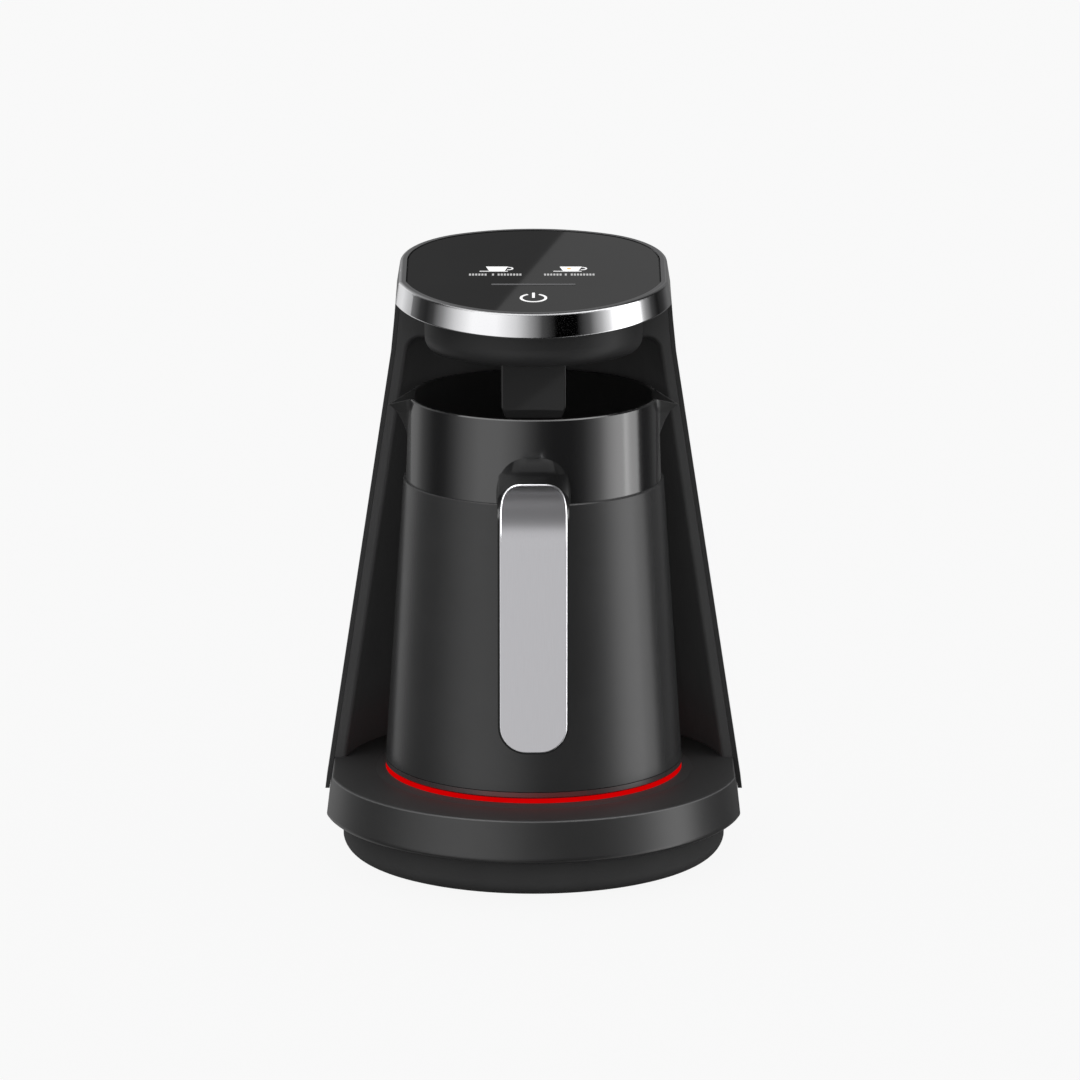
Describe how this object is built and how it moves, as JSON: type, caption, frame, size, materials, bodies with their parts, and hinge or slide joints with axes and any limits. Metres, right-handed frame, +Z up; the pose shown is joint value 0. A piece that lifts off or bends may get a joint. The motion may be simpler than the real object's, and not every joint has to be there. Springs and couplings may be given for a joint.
{
  "type": "electric turkish coffee maker",
  "caption": "Electric coffee pot with an upright bent handle and two pouring beaks, on a round base with a tapered tower and a tilted touch head.",
  "frame": {"origin": "pot's axis at the level that the feet stand on", "axes": "+Z up; -Y is the front, where the pot's handle is; +X is to the right seen from the front"},
  "size_m": [0.1584, 0.184, 0.2295],
  "materials": {
    "plinth_plastic": "matte, lightly grained",
    "housing_plastic": "satin",
    "shell_plastic": "satin",
    "ring_light": "translucent, lit from below",
    "circuit_board": "matte",
    "led_chip": "gloss",
    "foot_rubber": "matte",
    "screw_steel": "plain",
    "coupler_plastic": "satin",
    "contact_brass": "bright",
    "relay_case": "matte",
    "transformer_case": "matte",
    "gland_rubber": "matte",
    "chrome_trim": "mirror",
    "black_glass": "back-painted black, gloss",
    "gloss_plastic": "gloss",
    "lens_dark": "gloss",
    "vessel_coat": "black non-stick coat, gloss",
    "jacket_plastic": "fine matte grain",
    "heater_aluminium": "cast",
    "element_steel": "plain",
    "fuse_ceramic": "matte",
    "handle_plastic": "soft gloss",
    "insert_steel": "fine satin"
  },
  "bodies": {
    "machine": {"base_plinth": "plinth_plastic", "base_cover": "housing_plastic", "light_ring": "ring_light", "led_board": "circuit_board", "leds": "led_chip", "rubber_feet": "foot_rubber", "base_screws": "screw_steel", "coupler_base": "coupler_plastic", "contact_rings": "contact_brass", "power_board": "circuit_board", "relay": "relay_case", "transformer": "transformer_case", "board_screws": "screw_steel", "rear_shell": "shell_plastic", "tower_liner": "housing_plastic", "tower_screws": "screw_steel", "cord_gland": "gland_rubber", "head_housing": "housing_plastic", "chrome_ring": "chrome_trim", "glass_panel": "black_glass", "touch_board": "circuit_board", "buzzer": "relay_case", "sensor_arm": "gloss_plastic", "sensor_lens": "lens_dark", "sensor_board": "circuit_board"},
    "pot": {"pot_vessel": "vessel_coat", "pot_jacket": "jacket_plastic", "heater_plate": "heater_aluminium", "heating_element": "element_steel", "pot_coupler": "coupler_plastic", "earth_pin": "contact_brass", "temp_sensor": "element_steel", "thermal_fuse": "fuse_ceramic", "pot_base_cover": "jacket_plastic", "pot_screws": "screw_steel", "handle_body": "handle_plastic", "handle_insert": "insert_steel", "handle_bracket": "screw_steel"}
  },
  "joints": [
    {"name": "pot_lift", "type": "slide", "parent": "machine", "child": "pot", "axis": [0, 0, 1], "range_m": [0, 0.014]}
  ]
}
